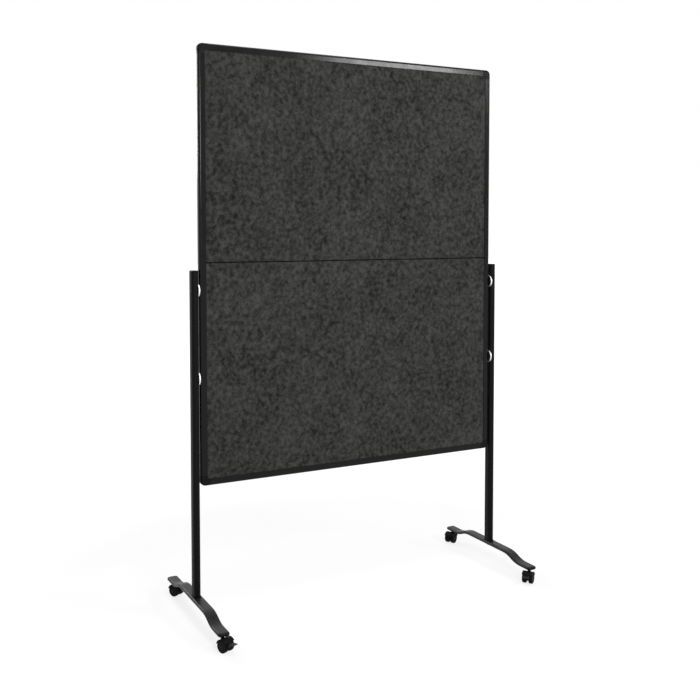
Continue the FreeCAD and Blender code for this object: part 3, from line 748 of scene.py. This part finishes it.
def screw_blank():
    """One screw with its head's face towards +Y, kept out of the scene."""
    cone_end = -(screw_head_radius - screw_shank_radius)
    outline = [(screw_head_radius, 0.0), (screw_shank_radius, cone_end)]
    outline += [(screw_shank_radius, -screw_length), (0.0, -screw_length)]
    shape = lathe(outline, screw_segments, Matrix.Identity(4))
    rim = [edge for edge in shape.edges if edge.is_boundary]
    recess = [shape.verts.new((point.x, point.y, screw_dome)) for point in cross_outline()]
    mouth = [shape.edges.new((recess[i - 1], recess[i])) for i in range(len(recess))]
    bmesh.ops.triangle_fill(shape, edges=rim + mouth, use_beauty=True)
    walls = bmesh.ops.extrude_edge_only(shape, edges=mouth)["geom"]
    floor = [vertex for vertex in walls if isinstance(vertex, bmesh.types.BMVert)]
    bmesh.ops.translate(shape, verts=floor, vec=(0, 0, -cross_depth))
    bmesh.ops.edgeloop_fill(shape, edges=[edge for edge in shape.edges if edge.is_boundary])
    bmesh.ops.recalc_face_normals(shape, faces=shape.faces)
    shape.transform(Matrix.Rotation(-math.pi / 2, 4, "X"))
    mesh = as_mesh(shape, "screw_blank")
    shade_smooth(mesh, turned_smooth_angle)
    return bpy.data.objects.new("screw_blank", mesh)


def screw_heads(cad_node):
    """Middle of each screw's head face, from the node's loose solids."""
    shape = bmesh.new()
    shape.from_mesh(frame["nodes"][cad_node].data)
    bmesh.ops.remove_doubles(shape, verts=shape.verts, dist=merge_distance)
    waiting = set(shape.verts)
    heads = []
    while waiting:
        front = [waiting.pop()]
        solid = []
        while front:
            vertex = front.pop()
            solid.append(vertex.co.copy())
            near = [edge.other_vert(vertex) for edge in vertex.link_edges]
            fresh = [other for other in near if other in waiting]
            waiting.difference_update(fresh)
            front += fresh
        middle = [(min(co[i] for co in solid) + max(co[i] for co in solid)) / 2 for i in (0, 2)]
        heads.append((middle[0], max(co.y for co in solid), middle[1]))
    shape.free()
    return sorted(heads)


def build_hinge_screws():
    tree = screws_tree()
    blank = screw_blank()
    for seed, (half, body) in enumerate((("lower", "stand"), ("upper", "upper_board"))):
        cad_node = "hinge_%s_screws" % half
        mesh = bpy.data.meshes.new(cad_node)
        mesh.from_pydata(screw_heads(cad_node), [], [])
        values = {"Screw": blank, "Seed": seed, "Material": finishes["zinc_steel"]}
        screws = grown("%s_hinge_screws" % half, mesh, tree, values)
        settle(screws, body, "zinc_steel", cad_node)
    bpy.data.objects.remove(blank)


# Grip ribs

def grip(name, body, slot, ribs, place, count, spacing, length, radius):
    """Ribs set into a surface; local X runs along a rib and local Z out of the surface."""
    values = {"Count": count, "Spacing": spacing, "Length": length, "Radius": radius, "Sides": rib_sides,
              "Material": finishes[slot]}
    row = grown(name, bpy.data.meshes.new(name), ribs, values)
    shift = Matrix.Translation((0, -spacing * (count - 1) / 2, -radius * rib_sink))
    row.data.transform(place @ shift)
    shade_smooth(row.data, rib_smooth_angle)
    settle(row, body, slot)


def build_grips():
    ribs = ribs_tree()
    for side in ("left", "right"):
        low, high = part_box(side + "_lock_bolt")
        points = [vertex.co for vertex in frame["nodes"][side + "_lock_bolt"].data.vertices]
        knob = [co for co in points if co.y > high.y - knob_face_depth]
        middle_z = (min(co.z for co in knob) + max(co.z for co in knob)) / 2
        middle = Vector(((low.x + high.x) / 2, high.y, middle_z))
        back = Matrix.Translation(middle) @ Matrix.Rotation(-math.pi / 2, 4, "X")
        grip(side + "_knob_ribs", side + "_lock", "zinc_steel", ribs, back,
             knob_rib_count, knob_rib_spacing, knob_rib_length, knob_rib_radius)
    for joint in frame["joints"]:
        if joint["name"].endswith("_brake_press"):
            axle = Vector(joint["axis"])
            tilt = math.radians(pedal_tilt)
            level = axle.cross(UP)
            plate = level * math.cos(tilt) + UP * math.sin(tilt)
            outwards = UP * math.cos(tilt) - level * math.sin(tilt)
            middle_rib = pedal_rib_start + pedal_rib_spacing * (pedal_rib_count - 1) / 2
            middle = Vector(joint["pos_m"]) + plate * middle_rib + outwards * pedal_half_thickness
            turn = Matrix((axle, -plate, outwards)).transposed().to_4x4()
            top = Matrix.Translation(middle) @ turn
            grip(joint["child"] + "_ribs", joint["child"], "pedal_grey", ribs, top,
                 pedal_rib_count, pedal_rib_spacing, pedal_rib_length, pedal_rib_radius)


# Solids that stay

like_level_rails = ("top_rail", "bottom_rail")
like_upright_rails = ("lower_end_plugs", "upper_end_plugs")


def paint_solids():
    """Give each solid that stays the finish of its slot, or of the rails that it continues."""
    slots = {part["node"]: part["material_slot"] for part in frame["record"]["subparts"]}
    slots.update({name: "level_rail_black" for name in like_level_rails})
    slots.update({name: "rail_black" for name in like_upright_rails})
    for name, solid in frame["nodes"].items():
        slot = slots[name]
        solid.data.materials.clear()
        solid.data.materials.append(finishes[slot])


# Stage

def seen_ray(tree):
    """1 on rays that show the background: camera, glossy and transmission rays."""
    path = node(tree, "ShaderNodeLightPath").outputs
    seen = math_of(tree, "MAXIMUM", path["Is Camera Ray"], path["Is Glossy Ray"])
    return math_of(tree, "MAXIMUM", seen, path["Is Transmission Ray"])


def build_floor():
    """White floor that keeps the board's shadow and fades into the background."""
    mesh = bpy.data.meshes.new("floor")
    corners = [(-floor_half, -floor_half, 0), (floor_half, -floor_half, 0), (floor_half, floor_half, 0),
               (-floor_half, floor_half, 0)]
    mesh.from_pydata(corners, [], [(0, 1, 2, 3)])
    material = bpy.data.materials.new("white floor")
    material.use_nodes = True
    tree = material.node_tree
    tree.nodes.clear()
    away = node(tree, "ShaderNodeVectorMath", {0: object_place(tree)}, operation="LENGTH").outputs["Value"]
    share = ranged(tree, away, shadow_reach[0], shadow_reach[1], shadow_share, 0.0)
    glow = math_of(tree, "MULTIPLY", seen_ray(tree), math_of(tree, "SUBTRACT", 1.0, share))
    matt = node(tree, "ShaderNodeBsdfDiffuse", {"Color": grey(floor_shade)}).outputs[0]
    white = node(tree, "ShaderNodeEmission", {"Color": grey(1.0), "Strength": floor_glow}).outputs[0]
    surface = node(tree, "ShaderNodeMixShader", {0: glow, 1: matt, 2: white}).outputs[0]
    node(tree, "ShaderNodeOutputMaterial", {"Surface": surface})
    mesh.materials.append(material)
    floor = new_piece("floor", mesh)


def build_world():
    world = bpy.data.worlds.new("studio")
    world.use_nodes = True
    tree = world.node_tree
    tree.nodes.clear()
    room = node(tree, "ShaderNodeBackground", {"Color": grey(1.0), "Strength": room_light}).outputs[0]
    inputs = {"Color": grey(1.0), "Strength": background_light}
    white = node(tree, "ShaderNodeBackground", inputs).outputs[0]
    surface = node(tree, "ShaderNodeMixShader", {0: seen_ray(tree), 1: room, 2: white}).outputs[0]
    node(tree, "ShaderNodeOutputWorld", {"Surface": surface})
    bpy.context.scene.world = world


def softbox(name, place, target, size, power):
    """Rectangular soft light that faces a target."""
    data = bpy.data.lights.new(name, "AREA")
    data.shape = "RECTANGLE"
    data.size, data.size_y = size
    data.energy = power
    light = bpy.data.objects.new(name, data)
    light.location = place
    light.rotation_euler = (Vector(target) - Vector(place)).to_track_quat("-Z", "Y").to_euler()
    bpy.context.scene.collection.objects.link(light)


def build_lights():
    softbox("key softbox", place=(1.90, -2.9, 2.48), target=(0.0, 0.0, 1.25), size=(0.95, 0.4), power=40)
    softbox("fill softbox", place=(-0.6, -3.3, 2.0), target=(-0.4, 0.0, 1.3), size=(0.6, 0.7), power=37)
    softbox("rear softbox", place=(-0.9, 3.4, 2.2), target=(0.0, 0.0, 1.2), size=(1.4, 1.0), power=42)
    softbox("overhead softbox", place=(0.0, -0.3, 4.5), target=(0.0, 0.0, 0.0), size=(3.0, 3.0), power=60)


def build_camera():
    data = bpy.data.cameras.new("camera")
    data.sensor_fit = "HORIZONTAL"
    data.sensor_width = camera_sensor
    data.lens = camera_lens
    data.shift_x, data.shift_y = camera_shift
    camera = bpy.data.objects.new("camera", data)
    camera.location = camera_place
    camera.rotation_euler = [math.radians(turn) for turn in camera_turn]
    bpy.context.scene.collection.objects.link(camera)
    bpy.context.scene.camera = camera


seam_height = next(joint["pos_m"][2] for joint in frame["joints"] if joint["name"] == "fold")
effects = build_effects()
finishes = build_finishes()
paint_solids()
build_felts()
build_wheels()
build_hinge_screws()
build_grips()
build_floor()
build_world()
build_lights()
build_camera()
bpy.context.scene.view_settings.view_transform = "Standard"
